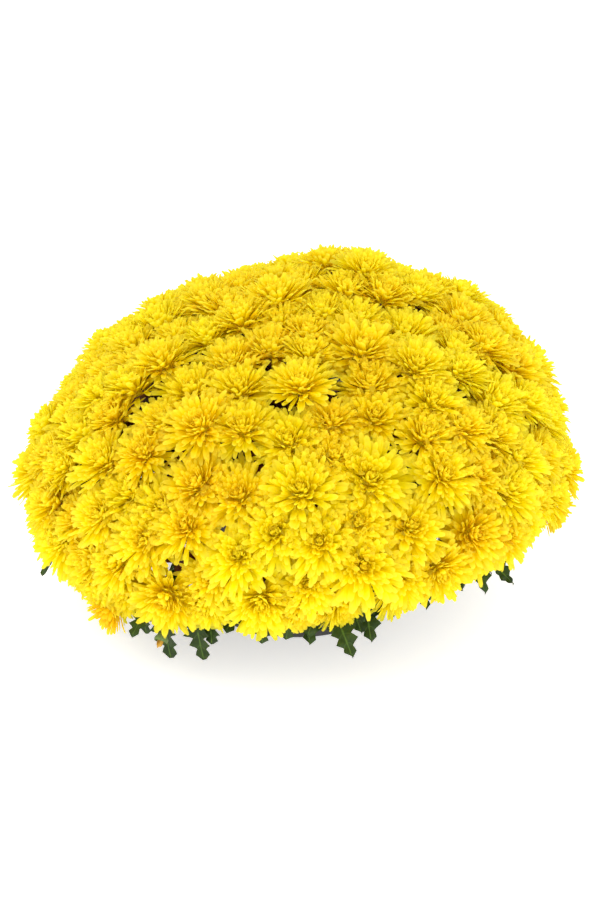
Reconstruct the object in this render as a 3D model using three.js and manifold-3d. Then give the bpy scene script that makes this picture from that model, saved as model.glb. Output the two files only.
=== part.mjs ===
// A potted garden chrysanthemum: a low mound of double yellow blooms on branching stems,
// with lobed leaves hanging below its edge, in a round nursery pan.
// Millimetres, +Z up. The origin is the middle of the pot's underside and -Y is the front.
import * as THREE from "three";
import Module from "manifold-3d";

const wasm = await Module();
wasm.setup();

// Pot and soil
const POT_HEIGHT = 120;
const POT_BASE_RADIUS = 73;
const POT_RIM_RADIUS = 102;
const POT_WALL = 2;
const POT_FLOOR = 3;
const POT_LIP_HEIGHT = 20;
const POT_LIP_STEP = 3;
const POT_EDGE = 1.5;
const POT_TOP_EDGE = 1;
const POT_SIDES = 24;
const DRAIN_HOLES = 6;
const DRAIN_RADIUS = 5;
const DRAIN_RING = 56;
const SOIL_BELOW_RIM = 14;
const SOIL_DOME = 6;

// The soil's dome, by shares of the pot's inner radius and of the dome's height
const SOIL_SHOULDER = { reach: 0.75, rise: 0.4 };
const SOIL_TOP_REACH = 0.35;

// Straight sides that stand for a circle
const HOLE_SIDES = 8;
const CUP_SIDES = 12;
const TRUNK_SIDES = 8;
const BAR_SIDES = 5;
const BALL_SIDES = { round: 10, up: 8 };

// Straight lengths that stand for a curve
const BRANCH_STEPS = 3;
const SHOOT_STEPS = 6;

// Mound, measured through the middles of its blooms
const MOUND_RADIUS = 195;
const WIDEST_HEIGHT = 106;
const MOUND_RISE = 140;
const SKIRT_DROP = 25;
const SKIRT_LEAN = 0.25;
const SKIRT_INSET = 14;
const MOUND_POWER = 1.97;
const MOUND_TILT = 0.06;
const PEAKS = [
  { x: 46, y: 34, height: 16, spread: 30 },
  { x: 122, y: 20, height: 12, spread: 26 },
];

// Sprays by tier: degrees from the mound's top, and the level where the skirt begins
const TIER_EDGES = { crown: 19, upper: 42, middle: 63 };
const SKIRT_TOP_LEVEL = 0.12;

// Blooms
const BLOOM_WIDTHS = [43, 53];
const BLOOM_CLOSENESS = 0.275;
const HEAD_SHARE = 0.8;
const BLOOM_RISE = 0.27;
const BLOOM_DEPTH = 0.24;
const CALYX_RADIUS = 4.5;
const BLOOM_PETALS = 6;
const PETAL_NOTCH = 0.86;
const FACE_UP = 0.35;
const FACE_JITTER = 0.16;
const LIFTS = [-7, 3];
const PLACING_TRIES = 4000;
const PLACING_SEED = 20117;

// Half-open blooms, by shares of their width: how far back the cup and its stalk reach
const HALF_OPEN = { back: 0.55, stalk: 1, depth: 0.8, foot: 0.2 };

// Stems and leaves
const STEM_COUNT = 5;
const STEM_RING = 24;
const STEM_RADIUS = 4;
const STEM_DEPTH_IN_SOIL = 30;
const STEM_SPREAD = 1.5;
const STEM_ABOVE_RIM = 8;
const BRANCH_BEND = { share: 0.55, lift: 6 };
const BRANCH_RADIUS = 2.2;
const TUBE_SIDES = 4;
const PEDICEL_RADIUS = 1.6;
const PEDICEL_LENGTH = 52;
const FORK_RADIUS = 7;
const STALK_END_SHARE = 0.6;
const FORK_AIM = { share: 0.45, aboveRim: 12 };
const STALK_SIDES = 3;
const LEAF_LENGTH = 56;
const LEAF_WIDTH = 30;
const LEAF_THICKNESS = 1.4;
const BUD_STALK = { radius: 1.3, length: 44, rise: 8 };
const SHOOT_FOOT = { reach: 46, aboveSoil: 4 };
const SHOOT_SEED = 300;
const SHOOT_TURN = 8;
const LEAF_FACE_OUT = 0.6;
const LEAF_SWAY = { turn: 7, drop: 0.08 };

// Clear space between neighbouring pieces
const GAP = 0.35;
const BLOOM_GAP_SHARE = 8;
const THIN_GAP_SHARE = 3;

const DEGREE = Math.PI / 180;
const UP = new THREE.Vector3(0, 0, 1);

// Half the outline of a leaf: shares of its length along it and of its width beside it
const LEAF_HALF_OUTLINE = [
  [0, 0.035],
  [0.22, 0.035],
  [0.42, 0.4],
  [0.53, 0.2],
  [0.72, 0.5],
  [0.8, 0.24],
];

// A leafy shoot's way over the rim: share of the rim's radius, height over the rim, and how
// much of the mound's tilt it follows
const SHOOT_PATH = [
  { reach: 0.82, overRim: 14, tilt: 0 },
  { reach: 1.25, overRim: -14, tilt: 0.6 },
  { reach: 1.55, overRim: -46, tilt: 1 },
];

// Leaves of a shoot: share of the way along it, turn to one side in degrees, and slope
const SHOOT_LEAVES = [
  { along: 0.35, turn: 55, drop: 0.3 },
  { along: 0.45, turn: -55, drop: 0.3 },
  { along: 0.72, turn: 52, drop: -0.35 },
  { along: 0.8, turn: -40, drop: -0.5 },
  { along: 0.97, turn: 8, drop: -0.8 },
];

// The eight sides of the mound, by their bearing from the front
const SIDES = [
  ["front", 0],
  ["front_right", 45],
  ["right", 90],
  ["back_right", 135],
  ["back", 180],
  ["back_left", -135],
  ["left", -90],
  ["front_left", -45],
];

// Blooms that stand out in the mound: bearing in degrees, level and width
const STANDOUT_BLOOMS = [
  [-7, -0.45, 52],
  [10, -1, 44],
  [13, 0.08, 56],
  [30, -0.3, 46],
  [39, 0.08, 56],
  [-32, 0.18, 48],
  [-48, -0.12, 54],
  [-76, 0.22, 52],
  [-23, 0.46, 52],
  [1, 0.44, 58],
  [17, 0.46, 60],
  [24, 0.22, 52],
  [31, 0.88, 60],
  [-14, 0.92, 52],
  [61, 0.56, 56],
  [96, 0.46, 56],
  [82, 0, 46],
  [-20, 0.8, 52],
  [-2, 0.64, 50],
  [-19, -0.66, 42],
];

// Blooms that are only half open, each a piece of its own at the mound's edge
const HALF_OPEN_BLOOMS = [
  { name: "half_open_bloom_right", bearing: 77, level: -0.8, width: 32, out: 19 },
  { name: "half_open_bloom_front_left", bearing: -45, level: -1.1, width: 32, out: 19 },
  { name: "half_open_bloom_back", bearing: 172, level: -1.1, width: 32, out: 16 },
];

// Round buds that are still closed
const BUDS = [
  { name: "flower_bud_front_left", bearing: -31, level: -1.35, width: 11, out: 24 },
  { name: "flower_bud_back_right", bearing: 128, level: -1.3, width: 11, out: 20 },
];

// A repeatable source of numbers between 0 and 1
class Chance {
  constructor(seed) {
    this.state = seed;
  }

  next() {
    this.state = (this.state * 48271) % 2147483647;
    return this.state / 2147483647;
  }

  between(low, high) {
    return low + (high - low) * this.next();
  }
}

// Level 1 is the mound's top, 0 its widest ring and -1 the middle of its lowest blooms.
function moundPoint(bearing, level) {
  let radius;
  let z;
  if (level >= 0) {
    radius = MOUND_RADIUS * (1 - level ** MOUND_POWER) ** (1 / MOUND_POWER);
    z = MOUND_RISE * level;
  } else {
    radius = MOUND_RADIUS - SKIRT_INSET * level * level;
    z = SKIRT_DROP * level * (1 - SKIRT_LEAN * Math.sin(bearing));
  }
  const x = radius * Math.sin(bearing);
  const y = -radius * Math.cos(bearing);
  z += WIDEST_HEIGHT + MOUND_TILT * x;
  for (const peak of PEAKS) {
    const away = (x - peak.x) ** 2 + (y - peak.y) ** 2;
    z += peak.height * Math.exp(-away / (2 * peak.spread ** 2));
  }
  return new THREE.Vector3(x, y, z);
}

function moundNormal(bearing, level) {
  const step = 0.01;
  const near = Math.min(level, 1 - 2 * step);
  const across = moundPoint(bearing + step, near).sub(moundPoint(bearing - step, near));
  const upward = moundPoint(bearing, near + step).sub(moundPoint(bearing, near - step));
  return across.cross(upward).normalize();
}

// Fills the mound with blooms that crowd each other evenly, the standout ones first.
function placeBlooms() {
  const chance = new Chance(PLACING_SEED);
  const blooms = [];

  function place(bearing, level, width) {
    const at = moundPoint(bearing, level);
    const clear = blooms.every(
      (other) => at.distanceTo(other.middle) >= BLOOM_CLOSENESS * (width + other.width),
    );
    if (!clear) {
      return false;
    }
    const lift = chance.between(...LIFTS);
    const lean = new THREE.Vector3(
      chance.between(-FACE_JITTER, FACE_JITTER),
      chance.between(-FACE_JITTER, FACE_JITTER),
      chance.between(-FACE_JITTER, FACE_JITTER),
    );
    const facing = moundNormal(bearing, level);
    facing.addScaledVector(UP, FACE_UP).add(lean).normalize();
    blooms.push({ middle: at, facing, width, lift, bearing, level });
    return true;
  }

  for (const [bearing, level, width] of STANDOUT_BLOOMS) {
    place(bearing * DEGREE, level, width);
  }
  let misses = 0;
  while (misses < PLACING_TRIES) {
    const bearing = chance.between(-Math.PI, Math.PI);
    const level = chance.between(-1, 1);
    const width = chance.between(...BLOOM_WIDTHS);
    // The skirt is short, so fewer tries go to it.
    if (level < 0 && chance.next() > SKIRT_DROP / MOUND_RISE) {
      continue;
    }
    misses = place(bearing, level, width) ? 0 : misses + 1;
  }
  return blooms;
}

function headOf(bloom) {
  return bloom.middle.clone().addScaledVector(bloom.facing, bloom.lift);
}

// Turns a three.js geometry into a solid for joining and cutting.
function solidOf(geometry) {
  const plain = geometry.clone();
  plain.deleteAttribute("normal");
  plain.deleteAttribute("uv");
  const places = plain.getAttribute("position");
  const index = plain.getIndex();
  const count = index ? index.count : places.count;
  const seen = new Map();
  const corners = [];
  const faces = [];
  for (let i = 0; i < count; i++) {
    const at = index ? index.getX(i) : i;
    const corner = [places.getX(at), places.getY(at), places.getZ(at)];
    const key = corner.map((value) => Math.round(value * 1e4)).join(",");
    if (!seen.has(key)) {
      seen.set(key, corners.length / 3);
      corners.push(...corner);
    }
    faces.push(seen.get(key));
  }
  const whole = [];
  for (let i = 0; i < faces.length; i += 3) {
    const [a, b, c] = faces.slice(i, i + 3);
    if (a !== b && b !== c && c !== a) {
      whole.push(a, b, c);
    }
  }
  return new wasm.Manifold(
    new wasm.Mesh({
      numProp: 3,
      vertProperties: new Float32Array(corners),
      triVerts: new Uint32Array(whole),
    }),
  );
}

function meshOf(name, solid, material) {
  const { vertProperties, triVerts } = solid.getMesh();
  const geometry = new THREE.BufferGeometry();
  geometry.setAttribute("position", new THREE.BufferAttribute(vertProperties, 3));
  geometry.setIndex(new THREE.BufferAttribute(triVerts, 1));
  const mesh = new THREE.Mesh(geometry, material);
  mesh.name = name;
  return mesh;
}

function joined(solids) {
  return solids.reduce((whole, next) => whole.add(next));
}

function boxesMeet(a, b) {
  const one = a.boundingBox();
  const two = b.boundingBox();
  return [0, 1, 2].every((i) => one.min[i] <= two.max[i] && two.min[i] <= one.max[i]);
}

// Cuts the room of each neighbour out of a solid and keeps its largest part.
function clearOf(solid, neighbours) {
  let left = solid;
  for (const neighbour of neighbours) {
    if (boxesMeet(left, neighbour)) {
      left = left.subtract(neighbour);
    }
  }
  const parts = left.decompose();
  parts.sort((a, b) => b.volume() - a.volume());
  return parts[0];
}

// A straight round bar between two points.
function bar(from, to, radius, sides = BAR_SIDES) {
  const along = to.clone().sub(from);
  const geometry = new THREE.CylinderGeometry(radius, radius, along.length(), sides);
  const turn = new THREE.Quaternion().setFromUnitVectors(
    new THREE.Vector3(0, 1, 0),
    along.clone().normalize(),
  );
  geometry.applyQuaternion(turn);
  const middle = from.clone().add(to).multiplyScalar(0.5);
  geometry.translate(middle.x, middle.y, middle.z);
  return solidOf(geometry);
}

// A round tube along a smooth curve through some points.
function tube(points, radius, steps) {
  const section = new THREE.Shape();
  for (let i = 0; i < TUBE_SIDES; i++) {
    const angle = (i / TUBE_SIDES) * 2 * Math.PI;
    const corner = [radius * Math.cos(angle), radius * Math.sin(angle)];
    if (i === 0) {
      section.moveTo(...corner);
    } else {
      section.lineTo(...corner);
    }
  }
  const curve = new THREE.CatmullRomCurve3(points, false, "centripetal");
  return solidOf(
    new THREE.ExtrudeGeometry(section, { extrudePath: curve, steps, bevelEnabled: false }),
  );
}

// A bloom's outer shape: a ring of petal tips, domed above, over a cone of sepals. It runs on
// into a three-sided stalk that ends at the fork of its spray.
function stalkedBloom({ facing, width }, head, fork, room) {
  const scale = 1 + (BLOOM_GAP_SHARE * room) / width;
  const radius = (HEAD_SHARE * width * scale) / 2;
  const top = BLOOM_RISE * width * scale;
  const bottom = -BLOOM_DEPTH * width - room;
  const calyx = CALYX_RADIUS + THIN_GAP_SHARE * room;
  const tips = 2 * BLOOM_PETALS;
  const turn = new THREE.Quaternion().setFromUnitVectors(UP, facing);
  const corners = [];

  function corner(x, y, z) {
    corners.push(...new THREE.Vector3(x, y, z).applyQuaternion(turn).add(head).toArray());
  }

  corner(0, 0, top);
  for (let i = 0; i < STALK_SIDES; i++) {
    const angle = (i / STALK_SIDES) * 2 * Math.PI;
    corner(calyx * Math.cos(angle), calyx * Math.sin(angle), bottom);
  }
  const away = fork.clone().sub(head);
  away.setLength(away.length() - STALK_END_SHARE * FORK_RADIUS);
  for (let i = 0; i < STALK_SIDES; i++) {
    const angle = (i / STALK_SIDES) * 2 * Math.PI;
    const thick = PEDICEL_RADIUS + THIN_GAP_SHARE * room;
    const side = new THREE.Vector3(thick * Math.cos(angle), thick * Math.sin(angle), 0);
    corners.push(...side.applyQuaternion(turn).add(head).add(away).toArray());
  }
  for (let i = 0; i < tips; i++) {
    const angle = (i / tips) * 2 * Math.PI;
    const reach = i % 2 === 0 ? radius : radius * PETAL_NOTCH;
    corner(reach * Math.cos(angle), reach * Math.sin(angle), 0);
  }
  const geometry = new THREE.BufferGeometry();
  geometry.setAttribute("position", new THREE.Float32BufferAttribute(corners, 3));
  geometry.setIndex(stalkedBloomFaces(tips));
  return solidOf(geometry);
}

// Corner 0 is the bloom's top. The calyx ring, the stalk's end ring and the petal tips follow.
function stalkedBloomFaces(tips) {
  const calyx = (i) => 1 + (i % STALK_SIDES);
  const end = (i) => 1 + STALK_SIDES + (i % STALK_SIDES);
  const tip = (i) => 1 + 2 * STALK_SIDES + (i % tips);
  const nearest = (i) => Math.round((STALK_SIDES * i) / tips);
  const faces = [end(0), end(2), end(1)];
  for (let i = 0; i < tips; i++) {
    faces.push(0, tip(i), tip(i + 1), calyx(nearest(i)), tip(i + 1), tip(i));
    if (nearest(i) !== nearest(i + 1)) {
      faces.push(calyx(nearest(i)), calyx(nearest(i + 1)), tip(i + 1));
    }
  }
  for (let i = 0; i < STALK_SIDES; i++) {
    faces.push(calyx(i), end(i), calyx(i + 1), calyx(i + 1), end(i), end(i + 1));
  }
  return faces;
}

// A lobed leaf with its stalk, along +X in the XY plane and thick along Z.
function leafGeometry(room) {
  const far = [...LEAF_HALF_OUTLINE].reverse().map(([along, side]) => [along, -side]);
  const outline = [...LEAF_HALF_OUTLINE, [1, 0], ...far];
  const shape = new THREE.Shape();
  outline.forEach(([along, side], i) => {
    const x = along * LEAF_LENGTH + Math.sign(along - 0.5) * room;
    const y = side * LEAF_WIDTH + Math.sign(side) * room;
    if (i === 0) {
      shape.moveTo(x, y);
    } else {
      shape.lineTo(x, y);
    }
  });
  const depth = LEAF_THICKNESS + 2 * room;
  const geometry = new THREE.ExtrudeGeometry(shape, { depth, bevelEnabled: false });
  geometry.translate(0, 0, -depth / 2);
  return geometry;
}

// One leaf from the foot of its stalk, along one direction and with its flat side facing another.
function leaf(foot, pointing, facing, room) {
  const x = pointing.clone().normalize();
  const y = facing.clone().cross(x).normalize();
  const z = x.clone().cross(y);
  const place = new THREE.Matrix4().makeBasis(x, y, z).setPosition(foot);
  return solidOf(leafGeometry(room).applyMatrix4(place));
}

function pot() {
  const lipFoot = POT_HEIGHT - POT_LIP_HEIGHT;
  const bodyTop = POT_RIM_RADIUS - POT_LIP_STEP - POT_EDGE;
  const profile = [
    [0, 0],
    [POT_BASE_RADIUS - POT_EDGE, 0],
    [POT_BASE_RADIUS, POT_EDGE],
    [bodyTop, lipFoot],
    [bodyTop + POT_LIP_STEP, lipFoot + POT_EDGE],
    [POT_RIM_RADIUS, POT_HEIGHT - POT_TOP_EDGE],
    [POT_RIM_RADIUS - POT_TOP_EDGE, POT_HEIGHT],
    [POT_RIM_RADIUS - POT_WALL, POT_HEIGHT],
    [bodyTop + POT_LIP_STEP - POT_WALL, lipFoot + 2 * POT_EDGE],
    [bodyTop - POT_WALL, lipFoot],
    [POT_BASE_RADIUS - POT_WALL, POT_FLOOR + POT_EDGE],
    [POT_BASE_RADIUS - POT_WALL - POT_EDGE, POT_FLOOR],
    [0, POT_FLOOR],
  ];
  return turned(profile).subtract(drainHoles());
}

// A solid of revolution about the Z axis from a profile of radius and height.
function turned(profile) {
  const points = profile.map(([radius, height]) => new THREE.Vector2(radius, height));
  const geometry = new THREE.LatheGeometry(points, POT_SIDES);
  geometry.rotateX(Math.PI / 2);
  return solidOf(geometry);
}

function drainHoles() {
  const holes = [];
  for (let i = 0; i < DRAIN_HOLES; i++) {
    const angle = ((i + 0.5) / DRAIN_HOLES) * 2 * Math.PI;
    const height = 4 * POT_FLOOR;
    const geometry = new THREE.CylinderGeometry(DRAIN_RADIUS, DRAIN_RADIUS, height, HOLE_SIDES);
    geometry.rotateX(Math.PI / 2);
    geometry.translate(DRAIN_RING * Math.cos(angle), DRAIN_RING * Math.sin(angle), 0);
    holes.push(solidOf(geometry));
  }
  return joined(holes);
}

// The soil fills the pot to just below its lip.
function soil() {
  const lipFoot = POT_HEIGHT - POT_LIP_HEIGHT;
  const bodyTop = POT_RIM_RADIUS - POT_LIP_STEP - POT_EDGE;
  const surface = POT_HEIGHT - SOIL_BELOW_RIM;
  const clear = POT_WALL + GAP;
  const profile = [
    [0, POT_FLOOR + GAP],
    [POT_BASE_RADIUS - clear - POT_EDGE, POT_FLOOR + GAP],
    [POT_BASE_RADIUS - clear, POT_FLOOR + POT_EDGE + GAP],
    [bodyTop - clear, lipFoot],
    [bodyTop - clear, surface],
    [SOIL_SHOULDER.reach * bodyTop, surface + SOIL_SHOULDER.rise * SOIL_DOME],
    [SOIL_TOP_REACH * bodyTop, surface + SOIL_DOME],
    [0, surface + SOIL_DOME],
  ];
  return turned(profile);
}

function sideOf(bearing, count) {
  const turns = bearing / (2 * Math.PI);
  return ((Math.round(turns * count) % count) + count) % count;
}

// Each spray of blooms belongs to one tier and one side of the mound.
function sprayName(bloom) {
  const height = Math.max(bloom.level, 0);
  const reach = (1 - height ** MOUND_POWER) ** (1 / MOUND_POWER);
  const fromTop = Math.atan2(reach, height) / DEGREE;
  if (fromTop < TIER_EDGES.crown) {
    return "bloom_spray_crown";
  }
  if (fromTop < TIER_EDGES.upper) {
    return `bloom_spray_upper_${SIDES[2 * sideOf(bloom.bearing, 4)][0]}`;
  }
  const side = SIDES[sideOf(bloom.bearing, 8)][0];
  if (fromTop < TIER_EDGES.middle) {
    return `bloom_spray_middle_${side}`;
  }
  if (bloom.level > SKIRT_TOP_LEVEL) {
    return `bloom_spray_lower_${side}`;
  }
  return `bloom_spray_skirt_${side}`;
}

function gatherSprays(blooms) {
  const sprays = new Map();
  for (const bloom of blooms) {
    const name = sprayName(bloom);
    if (!sprays.has(name)) {
      sprays.set(name, []);
    }
    sprays.get(name).push(bloom);
  }
  return sprays;
}

// Where a spray's bloom stalks meet, one stalk's length inside the mound.
function forkOf(members) {
  const middle = new THREE.Vector3();
  const facing = new THREE.Vector3();
  for (const bloom of members) {
    middle.add(bloom.middle);
    facing.add(moundNormal(bloom.bearing, bloom.level));
  }
  middle.divideScalar(members.length);
  facing.normalize();
  return middle.addScaledVector(facing, -PEDICEL_LENGTH);
}

// The blooms of one spray with their stalks, down to the fork they share.
function spray(members, room = 0) {
  const fork = forkOf(members);
  const pieces = [];
  for (const bloom of members) {
    pieces.push(stalkedBloom(bloom, headOf(bloom), fork, room));
  }
  const knot = new THREE.OctahedronGeometry(FORK_RADIUS + 2 * room);
  knot.translate(fork.x, fork.y, fork.z);
  pieces.push(solidOf(knot));
  return joined(pieces);
}

// The way from a spray's fork back towards the stems in the pot.
function towardsStems(fork, distance) {
  const root = new THREE.Vector3(fork.x, fork.y, 0).multiplyScalar(FORK_AIM.share);
  root.z = POT_HEIGHT + FORK_AIM.aboveRim;
  return fork.clone().add(root.sub(fork).normalize().multiplyScalar(distance));
}

// A point at a bearing from the front, a distance out from the Z axis and a height.
function around(bearing, reach, height) {
  return new THREE.Vector3(reach * Math.sin(bearing), -reach * Math.cos(bearing), height);
}

// A main stem rises from the soil and sends one branch to each spray it carries.
function mainStem(index, forks, room = 0) {
  const bearing = (index / STEM_COUNT) * 2 * Math.PI;
  const foot = around(bearing, STEM_RING, POT_HEIGHT - SOIL_BELOW_RIM - STEM_DEPTH_IN_SOIL);
  const top = around(bearing, STEM_RING * STEM_SPREAD, POT_HEIGHT + STEM_ABOVE_RIM);
  const start = top.clone().addScaledVector(UP, -STEM_RADIUS);
  const pieces = [bar(foot, top, STEM_RADIUS + room, TRUNK_SIDES)];
  for (const fork of forks) {
    const end = towardsStems(fork, FORK_RADIUS + THIN_GAP_SHARE * GAP);
    const bend = top.clone().lerp(end, BRANCH_BEND.share);
    bend.z += BRANCH_BEND.lift;
    pieces.push(tube([start, bend, end], BRANCH_RADIUS + room, BRANCH_STEPS));
  }
  return joined(pieces);
}

// Gives each spray's fork to the main stem on its side of the pot.
function shareForks(forks) {
  const shares = Array.from({ length: STEM_COUNT }, () => []);
  for (const fork of forks) {
    const bearing = Math.atan2(fork.x, -fork.y);
    shares[sideOf(bearing, STEM_COUNT)].push(fork);
  }
  return shares;
}

// A leafy side shoot arches over the pot's rim, and its leaves hang below the mound's edge.
function leafyShoot(bearing, chance, room) {
  const out = around(bearing, 1, 0);
  const side = new THREE.Vector3(-out.y, out.x, 0);
  const tilt = MOUND_TILT * MOUND_RADIUS * out.x;
  const soilTop = POT_HEIGHT - SOIL_BELOW_RIM + SOIL_DOME;
  const path = [around(bearing, SHOOT_FOOT.reach, soilTop + SHOOT_FOOT.aboveSoil)];
  for (const { reach, overRim, tilt: share } of SHOOT_PATH) {
    path.push(around(bearing, reach * POT_RIM_RADIUS, POT_HEIGHT + overRim + share * tilt));
  }
  const pieces = [tube(path, BRANCH_RADIUS + room, SHOOT_STEPS)];
  const curve = new THREE.CatmullRomCurve3(path, false, "centripetal");
  for (const { along, turn, drop } of SHOOT_LEAVES) {
    const node = curve.getPoint(along);
    const spread = (turn + chance.between(-LEAF_SWAY.turn, LEAF_SWAY.turn)) * DEGREE;
    const pointing = out.clone().multiplyScalar(Math.cos(spread));
    pointing.addScaledVector(side, Math.sin(spread));
    pointing.z = drop + chance.between(-LEAF_SWAY.drop, LEAF_SWAY.drop);
    pieces.push(leaf(node, pointing, UP.clone().addScaledVector(out, LEAF_FACE_OUT), room));
  }
  return joined(pieces);
}

// A half-open bloom is deeper than it is wide, on a stalk of its own.
function halfOpenBloom({ bearing, level, width, out }, room = 0) {
  const normal = moundNormal(bearing * DEGREE, Math.max(level, -1));
  const at = moundPoint(bearing * DEGREE, level).addScaledVector(normal, out);
  const facing = normal.clone().addScaledVector(UP, FACE_UP).normalize();
  const back = at.clone().addScaledVector(facing, -HALF_OPEN.back * width);
  const foot = back.clone().addScaledVector(normal, -HALF_OPEN.stalk * width);
  const deep = HALF_OPEN.depth * width + 2 * room;
  const narrow = HALF_OPEN.foot * width + room;
  const cup = new THREE.CylinderGeometry(width / 2 + room, narrow, deep, CUP_SIDES);
  cup.rotateX(Math.PI / 2);
  cup.applyQuaternion(new THREE.Quaternion().setFromUnitVectors(UP, facing));
  cup.translate(at.x, at.y, at.z);
  const stalk = PEDICEL_RADIUS + room;
  return joined([solidOf(cup), bar(at, back, stalk), bar(back, foot, stalk)]);
}

function flowerBud({ bearing, level, width, out }, room = 0) {
  const normal = moundNormal(bearing * DEGREE, -1);
  const at = moundPoint(bearing * DEGREE, level).addScaledVector(normal, out);
  const foot = at.clone().addScaledVector(normal, -BUD_STALK.length);
  foot.z += BUD_STALK.rise;
  const ball = new THREE.SphereGeometry(width / 2 + room, BALL_SIDES.round, BALL_SIDES.up);
  ball.translate(at.x, at.y, at.z);
  return solidOf(ball).add(bar(at, foot, BUD_STALK.radius + room));
}

const COLOURS = {
  pot: { color: 0x2c2b29, roughness: 0.6 },
  soil: { color: 0x2a1d14, roughness: 0.95 },
  stem: { color: 0x6f7a3a, roughness: 0.7 },
  leaf: { color: 0x2c4a1e, roughness: 0.6 },
  bloom: { color: 0xf5d60a, roughness: 0.55 },
  halfOpen: { color: 0xe9bd12, roughness: 0.55 },
  bud: { color: 0xb98a2c, roughness: 0.6 },
};

function material(kind) {
  return new THREE.MeshStandardMaterial({ ...COLOURS[kind], metalness: 0, flatShading: true });
}

function build() {
  const plant = new THREE.Group();
  plant.name = "potted_chrysanthemum";
  const room = [];

  // Each piece is cut clear of the ones before it, and those after it keep clear of it.
  function add(name, kind, make) {
    const solid = clearOf(make(0), room);
    room.push(make(GAP));
    plant.add(meshOf(name, solid, material(kind)));
  }

  const sprays = gatherSprays(placeBlooms());
  const forks = [...sprays.values()].map(forkOf);
  const shares = shareForks(forks);

  add("nursery_pot", "pot", () => pot());
  for (let i = 0; i < STEM_COUNT; i++) {
    add(`main_stem_${i + 1}`, "stem", (extra) => mainStem(i, shares[i], extra));
  }
  add("potting_soil", "soil", () => soil());
  for (const bloom of HALF_OPEN_BLOOMS) {
    add(bloom.name, "halfOpen", (extra) => halfOpenBloom(bloom, extra));
  }
  for (const bud of BUDS) {
    add(bud.name, "bud", (extra) => flowerBud(bud, extra));
  }
  for (const [name, members] of [...sprays].sort(([a], [b]) => a.localeCompare(b))) {
    add(name, "bloom", (extra) => spray(members, extra));
  }
  SIDES.forEach(([side, degrees], i) => {
    const turn = (degrees + SHOOT_TURN) * DEGREE;
    const seed = SHOOT_SEED + i;
    add(`leafy_shoot_${side}`, "leaf", (extra) => leafyShoot(turn, new Chance(seed), extra));
  });
  return plant;
}

export default build();
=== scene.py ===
import math

import bpy
import numpy as np
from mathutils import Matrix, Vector


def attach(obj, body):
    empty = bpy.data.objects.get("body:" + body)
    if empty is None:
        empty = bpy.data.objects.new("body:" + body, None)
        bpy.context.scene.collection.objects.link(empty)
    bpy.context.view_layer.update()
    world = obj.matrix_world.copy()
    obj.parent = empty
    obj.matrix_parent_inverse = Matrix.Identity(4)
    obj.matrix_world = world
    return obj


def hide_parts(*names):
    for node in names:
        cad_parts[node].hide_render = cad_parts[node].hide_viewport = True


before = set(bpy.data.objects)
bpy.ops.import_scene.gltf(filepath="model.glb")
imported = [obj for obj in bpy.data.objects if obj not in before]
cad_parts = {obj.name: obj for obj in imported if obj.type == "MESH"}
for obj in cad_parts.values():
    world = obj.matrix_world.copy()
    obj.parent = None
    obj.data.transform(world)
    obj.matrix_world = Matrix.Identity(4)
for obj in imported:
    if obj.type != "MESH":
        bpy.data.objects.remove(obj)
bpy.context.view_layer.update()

MM = 0.001

# Pot and soil, in millimetres as all sizes here are
POT_HEIGHT = 120
POT_BASE_RADIUS = 73
POT_RIM_RADIUS = 102
POT_WALL = 2
POT_FLOOR = 3
POT_LIP_HEIGHT = 20
POT_LIP_STEP = 3
POT_EDGE = 1.5
POT_FINE_EDGE = 1
POT_ROUNDING = 1.2
ROUNDING_REACH = 0.45
ROUNDING_STEPS = 3
POT_SIDES = 144
DRAIN_HOLES = 6
DRAIN_RADIUS = 5
DRAIN_RING = 56
DRAIN_SIDES = 24
DRAIN_CUT = (-6, 8)
SOIL_BELOW_RIM = 14
SOIL_DOME = 6
SOIL_SIDE_GAP = 0.4
SOIL_FLOOR_GAP = 1
SOIL_LUMPS = (-1.6, 1.6)
SOIL_SIDES = 96
SOIL_RINGS = 34
GRAINS = 260
GRAIN_SIZES = (0.8, 2.4)
GRAIN_SHAPES = (0.6, 1.2)
GRAIN_LIFT = 0.6
GRAIN_AREA = 0.94
PALE_GRAINS = 0.4
GRAIN_CORNERS = np.array([(1, 0, 0), (-1, 0, 0), (0, 1, 0), (0, -1, 0), (0, 0, 1), (0, 0, -1)])
GRAIN_FACES = [
    (0, 2, 4), (2, 1, 4), (1, 3, 4), (3, 0, 4),
    (2, 0, 5), (1, 2, 5), (3, 1, 5), (0, 3, 5),
]
NEAR_AXIS = 0.01

# Mound, measured through the middles of its blooms
MOUND_RADIUS = 195
WIDEST_HEIGHT = 106
MOUND_RISE = 140
SKIRT_DROP = 25
SKIRT_LEAN = 0.25
SKIRT_INSET = 14
MOUND_POWER = 1.97
MOUND_TILT = 0.06
PEAKS = [
    {"x": 46, "y": 34, "height": 16, "spread": 30},
    {"x": 122, "y": 20, "height": 12, "spread": 26},
]

# Sprays by tier: degrees from the mound's top, and the level where the skirt begins
CROWN_EDGE = 19
UPPER_EDGE = 42
MIDDLE_EDGE = 63
SKIRT_TOP_LEVEL = 0.12

# Bloom placing
BLOOM_WIDTHS = (43, 53)
BLOOM_CLOSENESS = 0.275
FACE_UP = 0.35
FACE_JITTER = 0.16
LIFTS = (-7, 3)
PLACING_TRIES = 4000
PLACING_SEED = 20117

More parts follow.
